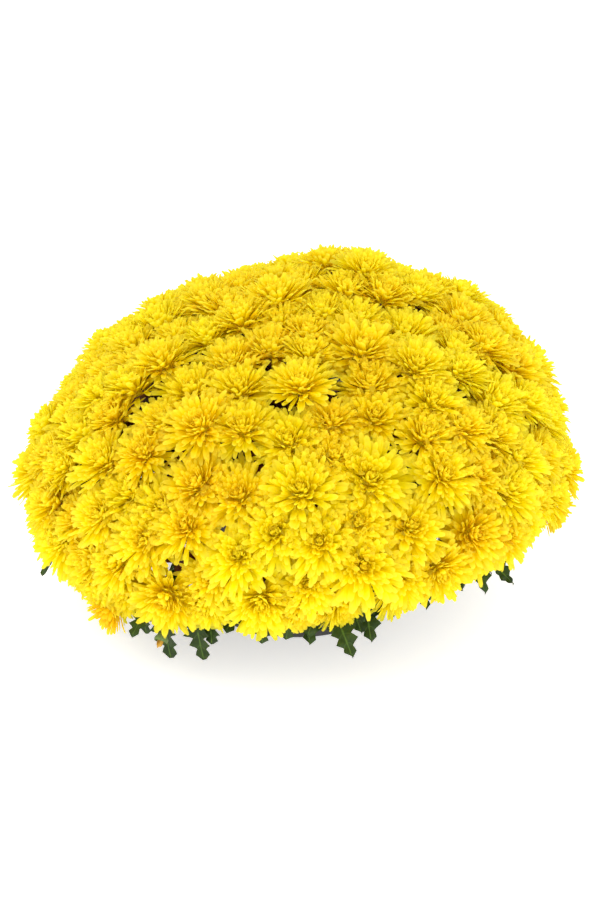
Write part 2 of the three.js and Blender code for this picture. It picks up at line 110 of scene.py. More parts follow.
# Blooms that stand out in the mound: bearing in degrees, level and width
STANDOUT_BLOOMS = [
    (-7, -0.45, 52),
    (10, -1, 44),
    (13, 0.08, 56),
    (30, -0.3, 46),
    (39, 0.08, 56),
    (-32, 0.18, 48),
    (-48, -0.12, 54),
    (-76, 0.22, 52),
    (-23, 0.46, 52),
    (1, 0.44, 58),
    (17, 0.46, 60),
    (24, 0.22, 52),
    (31, 0.88, 60),
    (-14, 0.92, 52),
    (61, 0.56, 56),
    (96, 0.46, 56),
    (82, 0, 46),
    (-20, 0.8, 52),
    (-2, 0.64, 50),
    (-19, -0.66, 42),
]

# Blooms and buds of their own: name, bearing in degrees, level, width and way out of the mound
HALF_OPEN_BLOOMS = [
    ("half_open_bloom_right", 77, -0.8, 32, 19),
    ("half_open_bloom_front_left", -45, -1.1, 32, 19),
    ("half_open_bloom_back", 172, -1.1, 32, 16),
]
BUDS = [
    ("flower_bud_front_left", -31, -1.35, 11, 24),
    ("flower_bud_back_right", 128, -1.3, 11, 20),
]
SIDES = [
    ("front", 0),
    ("front_right", 45),
    ("right", 90),
    ("back_right", 135),
    ("back", 180),
    ("back_left", -135),
    ("left", -90),
    ("front_left", -45),
]

# Petals of a bloom of the stated width. The PETAL pairs and CUPPING_BY_SPREAD give a value at the
# bloom's heart and what the outermost petals add to it. TIP_HOOK is a mean and its deviation, and
# other pairs are ranges. Leans are in degrees from the way the bloom faces
STATED_WIDTH = 52
PETALS_PER_BLOOM = 228
BLOOM_FULLNESS = 1.09
SPREAD_POWER = 0.75
PETAL_LENGTH = (0.24, 0.76)
PETAL_WIDTH = (2.2, 1.5)
PETAL_FOOT_LEAN = (4, 60)
PETAL_TIP_LEAN = (-10, 104)
HEART_CURL = 30
LENGTH_VARIES = (0.84, 1.1)
WIDTH_VARIES = (0.8, 1.25)
TURN_VARIES = 0.25
FOOT_LEAN_VARIES = 0.07
TIP_LEAN_VARIES = 0.2
TIP_HOOK = (-0.7, 0.8)
CUPPING = (0.15, 0.6)
CUPPING_BY_SPREAD = (1.3, -0.5)
ROLL_VARIES = 0.25
SWAY_VARIES = 0.07
HEART_RADIUS = 5.6
OUTER_FOOT_HEIGHT = -6.0
HEART_RISE = 9.5
BEND_POWER = 1.15
HOOK_FROM = 0.7
HOOK_POWER = 1.4
OUTER_FROM = 0.3

# A petal's rows from foot to tip, by share of its length, and its width at each
PETAL_ROWS = np.array([0.0, 0.36, 0.7, 0.93, 1.0])
PETAL_WIDTHS = np.array([0.4, 0.8, 1.0, 0.84, 0.44])
INNER_ROWS = np.array([0.0, 0.45, 0.86, 1.0])
INNER_WIDTHS = np.array([0.5, 0.95, 0.9, 0.5])
PETAL_SIDES = np.array([-1.0, 0.0, 1.0])

# The dome that the inner petals grow from and the cup of sepals: radius and height of each ring
DISC_RINGS = [(7.6, -4.8), (6.6, 0.2), (4.2, 3.6), (1.6, 5.0)]
CALYX_RINGS = [(1.6, -13.0), (5.0, -10.0), (8.0, -5.5), (7.2, -1.8)]
CALYX_NOTCH = 0.86
RING_SIDES = 10
DISC_LOOK = (0.55, 0.5)
DISC_OUTWARD = 0.05

# Stalks of open blooms
STALK_RADIUS = 1.3
STALK_LENGTH = 52
STALK_TOP = 12
STALK_BEND = 14
STALK_SWAY = 3
STALK_FLARE = 1.4
STALK_STEPS = 3
STALK_SIDES = 5
TWIG_STEPS = 4
TWIG_SIDES = 6
FORK_RADIUS = 7
FORK_AIM_SHARE = 0.45
FORK_AIM_ABOVE_RIM = 12

# Half-open blooms, mostly by shares of their width
HALF_OPEN_PETALS = 64
HALF_OPEN_SIZE = 1.35
HALF_OPEN_SPREAD = 0.62
HALF_OPEN_SUNK = 0.22
HALF_OPEN_BACK = 0.55
HALF_OPEN_CALYX = 1.25
HALF_OPEN_CALYX_BACK = 0.14
HALF_OPEN_STALK_TOP = 0.4
HALF_OPEN_STALK_BEND = 4
HALF_OPEN_TURN = 6
HALF_OPEN_SHADE = 0.8

# Closed buds, mostly by shares of their width, and their stalks
BUD_PETALS = 30
BUD_SIZE = 1.9
BUD_SPREAD = 0.1
BUD_PETAL_WIDTH = 1.6
BUD_CURL = 40
BUD_SUNK = 0.4
BUD_CALYX = 3.2
BUD_CALYX_FORWARD = 0.1
BUD_STALK_LENGTH = 44
BUD_STALK_RISE = 8
BUD_STALK_BENDS = (14, 3)
BUD_STALK_RADIUS = 1.2
BUD_SHADE = 1.0

# Stems
STEM_COUNT = 5
STEM_RING = 24
STEM_RADIUS = 4
STEM_TAPER = 0.02
STEM_DEPTH_IN_SOIL = 30
STEM_SWAY = 1
STEM_STEPS = 5
STEM_SIDES = 12
STEM_SPREAD = 1.5
STEM_ABOVE_RIM = 8
BRANCH_RADIUS = 1.9
BRANCH_RADII = (2.7, -0.9)
BRANCH_BEND_SHARE = 0.55
BRANCH_BEND_LIFT = 6
BRANCH_START_BELOW = 3
BRANCH_STEPS = 6
BRANCH_SIDES = 8

# Leaves. A pair of values is a range that chance picks from
LEAF_LENGTH = 56
LEAF_WIDTH = 26
LEAF_COLUMNS = 5
LEAF_ROWS = 31
LEAF_LOBES = 5
LEAF_NOTCH = 0.48
LEAF_TOOTH = 0.08
LEAF_FORWARD = 0.07
LEAF_STALK_SHARE = 0.22
LEAF_STALK_MARGIN = 0.9
LEAF_STALK_WIDTH = 0.03
LEAF_TIP_WIDTH = 0.02
LEAF_FULLEST = 0.8
LEAF_BLUNTNESS = 0.6
LEAF_LENGTH_VARIES = (0.85, 1.06)
LEAF_WIDTH_VARIES = (0.85, 1.1)
LEAF_DROOP = (0.08, 0.3)
LEAF_FOLD = (0.1, 0.35)
LEAF_WAVE = (1.0, 2.6)
WAVE_ALONG = 9
WAVE_ACROSS = 2.2

# Leafy shoots: share of the rim's radius, height over the rim and share of the mound's tilt
SHOOT_FOOT = 46
SHOOT_ABOVE_SOIL = 2
SHOOT_TURN = 8
SHOOT_RADII = (2.4, -1.2)
SHOOT_PATH = [
    (0.82, 14, 0),
    (1.25, -14, 0.6),
    (1.55, -46, 1),
]

# Leaves along a shoot: share of the way, turn to one side in degrees, and slope
RIM_LEAVES = [
    (0.40, 58, 0.25),
    (0.48, -58, 0.2),
    (0.66, 60, -0.2),
    (0.72, -46, -0.25),
    (0.84, 34, -0.2),
    (0.90, -24, -0.3),
    (1.0, 8, -0.35),
]
RIM_LEAF_SIZES = (0.65, 0.85)
RIM_LEAF_TURN = 9
RIM_LEAF_SLOPE = 0.08
RIM_LEAF_FACE_OUT = 0.6

# Leaves just under the lowest blooms, all round
EDGE_LEAVES = 9
EDGE_LEAF_SIZES = (0.58, 0.8)
EDGE_LEAF_INSET = (38, 46)
EDGE_LEAF_BELOW = (2, 10)
EDGE_LEAF_SLOPE = (0.15, 0.6)
EDGE_LEAF_SWING = 0.6
EDGE_LEAF_STRAY = 2
SIDE_ANGLE = 45
EDGE_LEAF_FACE_OUT = 0.8

# Leaves that hang below the blooms at the front: bearing in degrees and how far below
HANGING_LEAVES = {
    "front_left": [(-43, 6), (-36, 19), (-27, 13), (-22, 5)],
    "front": [(-8, 3), (-1, 4), (8, 2), (17, 1), (26, 0)],
    "front_right": [(36, 0), (47, 1), (60, 1)],
}
HANGING_INSET = 22
HANGING_LIFT = 3
HANGING_HIDDEN = 31
HANGING_SHARE = 0.9
HANGING_OUT = 0.35
HANGING_SWING = 0.25
HANGING_FACE_UP = 0.35

# Leaves just inside the mound's surface, in the painted shade colour of the gaps between blooms
UNDER_LEAVES = 22
UNDER_LEAF_SPREAD = 24
UNDER_LEAF_LEVELS = (-0.8, 0.93)
UNDER_LEAF_DEPTHS = (24, 40)
UNDER_LEAF_BACK = 30
UNDER_LEAF_RISE = 0.15
UNDER_LEAF_SIZE = 1.1

# Colours in linear light. A petal has those of its foot, its middle, its tip and the heart; the
# darker amber foot is painted shade for the crevices between petals
OPEN_PETAL = ((1.0, 0.72, 0.0), (0.98, 0.848, 0.0), (1.0, 0.912, 0.085), (1.0, 0.85, 0.0))
OPENING_PETAL = ((0.8, 0.42, 0.0), (0.95, 0.66, 0.0), (0.96, 0.74, 0.04), (0.9, 0.42, 0.0))
BUD_PETAL = ((0.4, 0.16, 0.02), (0.55, 0.27, 0.04), (0.62, 0.33, 0.06), (0.5, 0.22, 0.03))
PETAL_SPECK = (1.0, 0.9, 0.1)
SEPAL = ((0.10, 0.17, 0.04), (0.16, 0.22, 0.06))
# The sprays' stalks and calyces are maroon-brown: partly the purple-brown of the stalks, partly
# painted shade of the gaps between blooms, as a calyx itself is green
SHADED_BLOOM_STALK = ((0.10, 0.075, 0.03), (0.22, 0.07, 0.035))
STEM = ((0.14, 0.18, 0.05), (0.16, 0.12, 0.06))
LEAF = ((0.010, 0.024, 0.004), (0.034, 0.064, 0.010))
# Painted shade: the leaves inside the mound are a shaded copy of the leaf, maroon-brown like the
# gaps between blooms, partly also as older under leaves turn purple-brown
SHADED_LEAF = ((0.05, 0.014, 0.006), (0.12, 0.034, 0.014))
SOIL = ((0.02, 0.012, 0.007), (0.075, 0.045, 0.025))
SOIL_GRAIN = ((0.5, 0.47, 0.42), (0.75, 0.73, 0.68))
POT = ((0.022, 0.021, 0.02), (0.05, 0.047, 0.043))
POT_DUST = (0.14, 0.11, 0.08)
FLOOR = ((0.90, 0.90, 0.90), (0.92, 0.92, 0.92))
BLACK = (0, 0, 0)
GREY = (0.5, 0.5, 0.5)
WHITE = (1, 1, 1)

# What the materials vary by: low and high ends, or shares
PETAL_TONES = (0.92, 1.06)
BLOOM_HUES = (0.496, 0.506)
SPECK_SHARES = (-0.04, 0.14)
HEART_GOLD = 0.45
PETAL_SHINE = 0.08
MIDRIB_WIDTH = 0.12
VEIN_WIDTH = 0.045
VEIN_LEAN = 0.08
VEIN_PALENESS = 2.6
LEAF_PALENESS = 1.8
TONED_SHARE = 0.3
LEAF_SHINE = 0.2
LEAF_THROUGH = 0.15
DUST_SHARE = (0.35, 0.35, 0.35)

# Camera and light, in metres
CAMERA_ELEVATION = 23.5
CAMERA_DISTANCE = 1.5
CAMERA_LENS = 79.5
CAMERA_SENSOR = 36
CAMERA_TARGET = Vector((0.0025, 0, 0.1213))
LAMP_TARGET = Vector((0, 0, 0.12))
LAMPS = [
    {"name": "key", "place": (-0.8, -1.3, 1.9), "size": 1.6, "power": 7},
    {"name": "front", "place": (0.1, -1.9, 0.9), "size": 1.2, "power": 11.5},
]
WORLD_LIGHT = 1.2
FLOOR_GLOW = 0.5

# Floor, in millimetres
FLOOR_REACH = 9000
FLOOR_BELOW = 0.5

LOOK_SEED = 41
PLAIN_LOOK = (0.5, 0.5, 0.5, 1)
EVERY = slice(None)
MAIN_SLOT = 0
STALK_SLOT = 1
GRAIN_SLOT = 1
SHADED_SLOT = 2
MAP_NAME = "OFBake"
MAP_CELL_EDGE = 0.08
FLAT_FACE = 0.99
UP = Vector((0, 0, 1))
GOLDEN_ANGLE = math.pi * (3 - math.sqrt(5))


# A repeatable source of numbers between 0 and 1, the same as the part's own
class Chance:
    def __init__(self, seed):
        self.state = seed

    def next(self):
        self.state = self.state * 48271 % 2147483647
        return self.state / 2147483647

    def between(self, low, high):
        return low + (high - low) * self.next()


# The mound's shape and its blooms, as the part places them

def mound_point(bearing, level):
    """Level 1 is the mound's top, 0 its widest ring and -1 the middle of its lowest blooms."""
    if level >= 0:
        radius = MOUND_RADIUS * (1 - level ** MOUND_POWER) ** (1 / MOUND_POWER)
        z = MOUND_RISE * level
    else:
        radius = MOUND_RADIUS - SKIRT_INSET * level * level
        z = SKIRT_DROP * level * (1 - SKIRT_LEAN * math.sin(bearing))
    x = radius * math.sin(bearing)
    y = -radius * math.cos(bearing)
    z += WIDEST_HEIGHT + MOUND_TILT * x
    for peak in PEAKS:
        away = (x - peak["x"]) ** 2 + (y - peak["y"]) ** 2
        z += peak["height"] * math.exp(-away / (2 * peak["spread"] ** 2))
    return Vector((x, y, z))


def mound_normal(bearing, level):
    step = 0.01
    near = min(level, 1 - 2 * step)
    across = mound_point(bearing + step, near) - mound_point(bearing - step, near)
    upward = mound_point(bearing, near + step) - mound_point(bearing, near - step)
    return across.cross(upward).normalized()


class Bloom:
    def __init__(self, bearing, level, width, chance):
        self.bearing = bearing
        self.level = level
        self.width = width
        self.middle = mound_point(bearing, level)
        self.lift = chance.between(*LIFTS)
        lean = Vector([chance.between(-FACE_JITTER, FACE_JITTER) for _ in range(3)])
        self.facing = (mound_normal(bearing, level) + FACE_UP * UP + lean).normalized()
        self.head = self.middle + self.lift * self.facing


def place_blooms():
    """Fills the mound with blooms that crowd each other evenly, the standout ones first."""
    chance = Chance(PLACING_SEED)
    blooms = []

    def place(bearing, level, width):
        at = mound_point(bearing, level)
        for other in blooms:
            if (at - other.middle).length < BLOOM_CLOSENESS * (width + other.width):
                return False
        blooms.append(Bloom(bearing, level, width, chance))
        return True

    for bearing, level, width in STANDOUT_BLOOMS:
        place(math.radians(bearing), level, width)
    misses = 0
    while misses < PLACING_TRIES:
        bearing = chance.between(-math.pi, math.pi)
        level = chance.between(-1, 1)
        width = chance.between(*BLOOM_WIDTHS)
        # The skirt is short, so fewer tries go to it.
        if level < 0 and chance.next() > SKIRT_DROP / MOUND_RISE:
            continue
        misses = 0 if place(bearing, level, width) else misses + 1
    return blooms


def side_of(bearing, count):
    return math.floor(bearing / (2 * math.pi) * count + 0.5) % count


def spray_name(bloom):
    height = max(bloom.level, 0)
    reach = (1 - height ** MOUND_POWER) ** (1 / MOUND_POWER)
    from_top = math.degrees(math.atan2(reach, height))
    if from_top < CROWN_EDGE:
        return "bloom_spray_crown"
    if from_top < UPPER_EDGE:
        return "bloom_spray_upper_" + SIDES[2 * side_of(bloom.bearing, 4)][0]
    side = SIDES[side_of(bloom.bearing, 8)][0]
    if from_top < MIDDLE_EDGE:
        return "bloom_spray_middle_" + side
    if bloom.level > SKIRT_TOP_LEVEL:
        return "bloom_spray_lower_" + side
    return "bloom_spray_skirt_" + side


def gather_sprays(blooms):
    sprays = {}
    for bloom in blooms:
        sprays.setdefault(spray_name(bloom), []).append(bloom)
    return sprays


def fork_of(members):
    """Where a spray's bloom stalks meet, one stalk's length inside the mound."""
    middle = sum((bloom.middle for bloom in members), Vector()) / len(members)
    facing = sum((mound_normal(bloom.bearing, bloom.level) for bloom in members), Vector())
    return middle - STALK_LENGTH * facing.normalized()


def towards_stems(fork, distance):
    root = Vector((fork.x * FORK_AIM_SHARE, fork.y * FORK_AIM_SHARE,
                   POT_HEIGHT + FORK_AIM_ABOVE_RIM))
    return fork + distance * (root - fork).normalized()


def around(bearing, reach, height):
    """A point at a bearing from the front, a distance out from the Z axis and a height."""
    return Vector((reach * math.sin(bearing), -reach * math.cos(bearing), height))


# Mesh building

# Gathers grids of points, each with four numbers for its look and a place in the piece's map
class Shape:
    def __init__(self):
        self.points = []
        self.faces = []
        self.slots = []
        self.looks = []
        self.maps = []
        self.cells = 0
        self.count = 0

    def add(self, points, faces, slot=MAIN_SLOT, look=None, places=None, cells=1):
        points = np.asarray(points, dtype=float).reshape(-1, 3)
        number = len(points)
        faces = [tuple(corner + self.count for corner in face) for face in faces]
        self.points.append(points)
        self.faces.extend(faces)
        self.slots.extend([slot] * len(faces))
        self.looks.append(np.zeros((number, 4)) if look is None else np.asarray(look))
        places = np.zeros((number, 2)) if places is None else np.asarray(places, dtype=float)
        cell = self.cells + np.repeat(np.arange(cells), number // cells)
        self.maps.append(np.column_stack([places, cell]))
        self.cells += cells
        self.count += number

    def build(self, name, materials, mapped=False, smooth=True):
        mesh = bpy.data.meshes.new(name)
        points = np.concatenate(self.points) * MM
        mesh.from_pydata(points.tolist(), [], self.faces)
        mesh.polygons.foreach_set("material_index", self.slots)
        mesh.polygons.foreach_set("use_smooth", [smooth] * len(self.faces))
        look = mesh.color_attributes.new("look", "FLOAT_COLOR", "POINT")
        look.data.foreach_set("color", np.concatenate(self.looks).ravel())
        if mapped:
            self.add_map(mesh)
        for material in materials:
            mesh.materials.append(material)
        mesh.update()
        piece = bpy.data.objects.new(name, mesh)
        bpy.context.scene.collection.objects.link(piece)
        return piece

    def add_map(self, mesh):
        """A square map with a cell for each petal, leaf or tube, so that no two share a place."""
        across = math.ceil(math.sqrt(self.cells))
        u, v, cell = np.concatenate(self.maps).T
        inside = 1 - 2 * MAP_CELL_EDGE
        places = np.column_stack([cell % across + MAP_CELL_EDGE + inside * u,
                                  cell // across + MAP_CELL_EDGE + inside * v]) / across
        corners = np.empty(len(mesh.loops), dtype=int)
        mesh.loops.foreach_get("vertex_index", corners)
        layer = mesh.uv_layers.new(name=MAP_NAME)
        layer.data.foreach_set("uv", places[corners].ravel())


def finish_piece(piece, slot, *nodes):
    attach(piece, "root")
    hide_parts(*nodes)


def grid_places(rows, columns):
    """Places in one cell for a grid of points, from its shares along and across."""
    u, v = np.meshgrid(columns, rows)
    return np.column_stack([u.ravel(), v.ravel()])


def ring_places(rings, sides):
    return grid_places(np.linspace(0, 1, rings), np.arange(sides) / sides)


def grid_faces(rows, columns):
    faces = []
    for i in range(rows - 1):
        for j in range(columns - 1):
            a = i * columns + j
            faces.append((a, a + 1, a + columns + 1, a + columns))
    return faces


def ring_faces(rings, sides):
    """Faces between neighbouring rings of points."""
    faces = []
    for i in range(rings - 1):
        for k in range(sides):
            a = i * sides + k
            b = i * sides + (k + 1) % sides
            faces.append((a, b, b + sides, a + sides))
    return faces


def first_ring(sides):
    return tuple(reversed(range(sides)))


def last_ring(rings, sides):
    return tuple(range((rings - 1) * sides, rings * sides))


def ring(radius, height, sides):
    """Points round the Z axis."""
    angles = [2 * math.pi * k / sides for k in range(sides)]
    return [(radius * math.cos(angle), radius * math.sin(angle), height) for angle in angles]


def facing_axes(facing, turn):
    """Two axes across the way something faces, turned about it, and that way itself."""
    side = facing.orthogonal().normalized()
    other = facing.cross(side)
    return (
        math.cos(turn) * side + math.sin(turn) * other,
        math.cos(turn) * other - math.sin(turn) * side,
        facing,
    )


def placed(points, at, axes):
    basis = np.array([tuple(axis) for axis in axes])
    return points @ basis + np.array(tuple(at))


def tube_points(path, radii, sides):
    """Rings of points round a path, with no twist from ring to ring."""
    side = None
    points = []
    for i, middle in enumerate(path):
        along = (path[min(i + 1, len(path) - 1)] - path[max(i - 1, 0)]).normalized()
        if side is None:
            side = along.orthogonal().normalized()
        side = (side - side.dot(along) * along).normalized()
        other = along.cross(side)
        for k in range(sides):
            angle = 2 * math.pi * k / sides
            points.append(middle + radii[i] * (math.cos(angle) * side + math.sin(angle) * other))
    return points


def add_tube(shape, path, radii, sides, slot=MAIN_SLOT):
    points = [tuple(point) for point in tube_points(path, radii, sides)]
    faces = ring_faces(len(path), sides) + [first_ring(sides), last_ring(len(path), sides)]
    look = [PLAIN_LOOK] * len(points)
    shape.add(points, faces, slot, look, ring_places(len(path), sides))


def smooth_path(points, steps):
    """A smooth curve through the points, with some steps between each two."""
    points = [points[0] * 2 - points[1]] + list(points) + [points[-1] * 2 - points[-2]]
    path = []
    for i in range(1, len(points) - 2):
        p0, p1, p2, p3 = points[i - 1:i + 3]
        for k in range(steps):
            t = k / steps
            path.append(0.5 * (2 * p1 + (p2 - p0) * t + (2 * p0 - 5 * p1 + 4 * p2 - p3) * t * t
                               + (3 * p1 - p0 - 3 * p2 + p3) * t ** 3))
    path.append(points[-2])
    return path


def tapered(radii, number):
    """Radii of a tube, from the first one and what is added to it along the whole tube."""
    first, added = radii
    return [first + added * i / (number - 1) for i in range(number)]


# Petals

def petal_points(rows, widths, spec):
    """Points of many petals at once. spec holds one number per petal for each of its sizes."""
    s = rows[None, :]
    angle = spec["start"][:, None] + (spec["end"] - spec["start"])[:, None] * s ** BEND_POWER
    angle = angle + spec["hook"][:, None] * np.clip(s - HOOK_FROM, 0, None) ** HOOK_POWER
    step = np.diff(rows, prepend=0.0)[None, :] * spec["length"][:, None]
    middle = angle - 0.5 * np.diff(angle, prepend=angle[:, :1])
    out = spec["base_r"][:, None] + np.cumsum(np.sin(middle) * step, axis=1)
    up = spec["base_z"][:, None] + np.cumsum(np.cos(middle) * step, axis=1)
    half = 0.5 * spec["width"][:, None] * widths[None, :]
    side = PETAL_SIDES[None, None, :]
    roll = spec["roll"][:, None] * s
    across = half[..., None] * side
    raised = half[..., None] * np.abs(side) * spec["cup"][:, None, None] + across * roll[..., None]
    out = out[..., None] - np.cos(angle)[..., None] * raised
    up = up[..., None] + np.sin(angle)[..., None] * raised
    sway = spec["sway"][:, None, None] * (s ** 2)[..., None] * spec["length"][:, None, None]
    across = across + sway
    turn = spec["turn"][:, None, None]
    x = out * np.cos(turn) - across * np.sin(turn)
    y = out * np.sin(turn) + across * np.cos(turn)
    return np.stack([x, y, up], axis=-1)


def petal_specs(width, number, rng, openness=1.0):
    """Sizes of a bloom's petals, from the middle ones to the outermost."""
    i = np.arange(number)
    t = (i + 0.5) / number
    spread = t ** SPREAD_POWER
    scale = width / STATED_WIDTH

    def outward(pair):
        at_heart, added = pair
        return at_heart + added * spread

    def even(low, high):
        return rng.uniform(low, high, number)

    def uneven(middle, deviation):
        return rng.normal(middle, deviation, number)

    foot_lean = outward(PETAL_FOOT_LEAN) * openness
    tip_lean = (outward(PETAL_TIP_LEAN) - HEART_CURL * (1 - spread) ** 3) * openness
    return {
        "t": t,
        "turn": i * GOLDEN_ANGLE + even(-TURN_VARIES, TURN_VARIES),
        "length": width / 2 * outward(PETAL_LENGTH) * even(*LENGTH_VARIES),
        "width": outward(PETAL_WIDTH) * even(*WIDTH_VARIES) * scale,
        "start": np.radians(foot_lean) + uneven(0, FOOT_LEAN_VARIES),
        "end": np.radians(tip_lean) + uneven(0, TIP_LEAN_VARIES),
        "hook": uneven(*TIP_HOOK),
        "cup": even(*CUPPING) * outward(CUPPING_BY_SPREAD),
        "roll": uneven(0, ROLL_VARIES),
        "sway": uneven(0, SWAY_VARIES),
        "base_r": HEART_RADIUS * np.sqrt(t) * scale,
        "base_z": (OUTER_FOOT_HEIGHT + HEART_RISE * (1 - t)) * scale,
    }


def add_petals(shape, spec, chosen, rows, widths, at, axes, shade, rng):
    picked = {key: value[chosen] for key, value in spec.items()}
    number = len(picked["t"])
    columns = len(PETAL_SIDES)
    points = placed(petal_points(rows, widths, picked), at, axes)
    look = np.empty((number, len(rows), columns, 4))
    look[..., 0] = rows[None, :, None]
    look[..., 1] = rng.uniform(0, 1, number)[:, None, None]
    look[..., 2] = shade
    look[..., 3] = picked["t"][:, None, None]
    per_petal = grid_faces(len(rows), columns)
    size = len(rows) * columns
    faces = [tuple(c + n * size for c in face) for n in range(number) for face in per_petal]
    places = np.tile(grid_places(rows, 0.5 + 0.5 * PETAL_SIDES), (number, 1))
    shape.add(points.reshape(-1, 3), faces, MAIN_SLOT, look.reshape(-1, 4), places, number)


# Open blooms

def add_bloom(shape, bloom, rng):
    spec = petal_specs(bloom.width * BLOOM_FULLNESS, PETALS_PER_BLOOM, rng)
    axes = facing_axes(bloom.facing, rng.uniform(0, 2 * math.pi))
    shade = rng.uniform(0, 1)
    outer = spec["t"] > OUTER_FROM
    add_petals(shape, spec, outer, PETAL_ROWS, PETAL_WIDTHS, bloom.head, axes, shade, rng)
    add_disc(shape, bloom.head, axes, bloom.width / STATED_WIDTH, shade)
    add_petals(shape, spec, ~outer, INNER_ROWS, INNER_WIDTHS, bloom.head, axes, shade, rng)


def add_disc(shape, at, axes, scale, shade):
    """The golden dome that the inner petals grow from, which closes a bloom's middle."""
    points = [point for radius, height in DISC_RINGS for point in ring(radius, height, RING_SIDES)]
    points = np.array(points) * scale
    faces = ring_faces(len(DISC_RINGS), RING_SIDES) + [last_ring(len(DISC_RINGS), RING_SIDES)]
    places = 0.5 + 0.5 * points[:, :2] / (DISC_RINGS[0][0] * scale)
    look = [(*DISC_LOOK, shade, DISC_OUTWARD)] * len(points)
    shape.add(placed(points, at, axes), faces, MAIN_SLOT, look, places)


def add_calyx(shape, at, facing, width):
    """The green cup of sepals under a bloom."""
    points = []
    for radius, height in CALYX_RINGS:
        for k, (x, y, z) in enumerate(ring(radius, height, RING_SIDES)):
            notch = 1.0 if k % 2 == 0 else CALYX_NOTCH
            points.append((notch * x, notch * y, z))
    points = np.array(points) * width / STATED_WIDTH
    faces = ring_faces(len(CALYX_RINGS), RING_SIDES)
    look = [PLAIN_LOOK] * len(points)
    places = ring_places(len(CALYX_RINGS), RING_SIDES)
    shape.add(placed(points, at, facing_axes(facing, 0)), faces, STALK_SLOT, look, places)


def add_stalk(shape, bloom, fork, rng):
    foot = bloom.head - STALK_TOP * bloom.facing
    sway = Vector(rng.uniform(-STALK_SWAY, STALK_SWAY, 3))
    bend = foot - STALK_BEND * bloom.facing + sway
    path = smooth_path([fork, bend, foot], STALK_STEPS)
    radii = [STALK_RADIUS] * (len(path) - 1) + [STALK_RADIUS * STALK_FLARE]
    add_tube(shape, path, radii, STALK_SIDES, STALK_SLOT)


def bloom_spray(name, members, materials, rng):
    shape = Shape()
    fork = fork_of(members)
    for bloom in members:
        add_bloom(shape, bloom, rng)
    for bloom in members:
        add_calyx(shape, bloom.head, bloom.facing, bloom.width)
        add_stalk(shape, bloom, fork, rng)
    stub = [fork, towards_stems(fork, FORK_RADIUS)]
    add_tube(shape, stub, [BRANCH_RADIUS] * 2, TWIG_SIDES, STALK_SLOT)
    piece = shape.build(name.replace("bloom_spray_", "") + "_blooms", materials, mapped=True)
    finish_piece(piece, "petals", name)


# Half-open blooms and buds

def half_open_bloom(name, bearing, level, width, out, materials, rng):
    bearing = math.radians(bearing)
    normal = mound_normal(bearing, max(level, -1))
    at = mound_point(bearing, level) + out * normal
    facing = (normal + FACE_UP * UP).normalized()
    back = at - HALF_OPEN_BACK * width * facing
    foot = back - width * normal
    shape = Shape()
    spec = petal_specs(width * HALF_OPEN_SIZE, HALF_OPEN_PETALS, rng, HALF_OPEN_SPREAD)
    spec["base_z"] = spec["base_z"] - HALF_OPEN_SUNK * width
    axes = facing_axes(facing, rng.uniform(0, HALF_OPEN_TURN))
    add_petals(shape, spec, EVERY, PETAL_ROWS, PETAL_WIDTHS, at, axes, HALF_OPEN_SHADE, rng)
    calyx_at = at - HALF_OPEN_CALYX_BACK * width * facing
    add_calyx(shape, calyx_at, facing, width * HALF_OPEN_CALYX)
    bend = back - HALF_OPEN_STALK_BEND * facing
    path = smooth_path([foot, bend, at - HALF_OPEN_STALK_TOP * width * facing], TWIG_STEPS)
    add_tube(shape, path, [STALK_RADIUS] * len(path), TWIG_SIDES, STALK_SLOT)
    piece = shape.build(name.replace("half_open_bloom", "opening_bloom"), materials, mapped=True)
    finish_piece(piece, "opening_petals", name)


def flower_bud(name, bearing, level, width, out, materials, rng):
    bearing = math.radians(bearing)
    normal = mound_normal(bearing, -1)
    at = mound_point(bearing, level) + out * normal
    foot = at - BUD_STALK_LENGTH * normal + BUD_STALK_RISE * UP
    shape = Shape()
    spec = petal_specs(width * BUD_SIZE, BUD_PETALS, rng, BUD_SPREAD)
    spec["width"] = spec["width"] * BUD_PETAL_WIDTH
    spec["end"] = spec["end"] - np.radians(BUD_CURL) * spec["t"]
    spec["base_z"] = spec["base_z"] - BUD_SUNK * width
    axes = facing_axes(normal, 0)
    add_petals(shape, spec, EVERY, INNER_ROWS, INNER_WIDTHS, at, axes, BUD_SHADE, rng)
    add_calyx(shape, at + BUD_CALYX_FORWARD * width * normal, normal, width * BUD_CALYX)
    path = smooth_path([foot] + [at - back * normal for back in BUD_STALK_BENDS], TWIG_STEPS)
    add_tube(shape, path, [BUD_STALK_RADIUS] * len(path), TWIG_SIDES, STALK_SLOT)
    piece = shape.build(name.replace("flower_bud", "closed_bud"), materials, mapped=True)
    finish_piece(piece, "buds", name)


# Leaves

def leaf_edge():
    """A leaf's edge from stalk to tip, with lobes that carry small teeth. Each row holds a share
    of the length, half of the width there, and how far the edge reaches forward."""
    stalk_end = LEAF_STALK_MARGIN * LEAF_STALK_SHARE
    rows = [(0.0, LEAF_STALK_WIDTH, 0.0), (stalk_end, LEAF_STALK_WIDTH, 0.0)]
    for i in range(LEAF_ROWS):
        u = i / (LEAF_ROWS - 1)
        lobe = 0.5 - 0.5 * math.cos(2 * math.pi * LEAF_LOBES * u)
        tooth = LEAF_TOOTH if i % 2 == 0 else 0
        inside = 0 < i < LEAF_ROWS - 1
        outline = math.sin(math.pi * u ** LEAF_FULLEST) ** LEAF_BLUNTNESS if inside else 0
        half = 0.5 * outline * (1 - LEAF_NOTCH * (1 - lobe)) * (1 - tooth) + LEAF_TIP_WIDTH
        s = LEAF_STALK_SHARE + (1 - LEAF_STALK_SHARE) * u
        rows.append((s, half, LEAF_FORWARD * lobe * (1 - u)))
    return rows


LEAF_EDGE = leaf_edge()


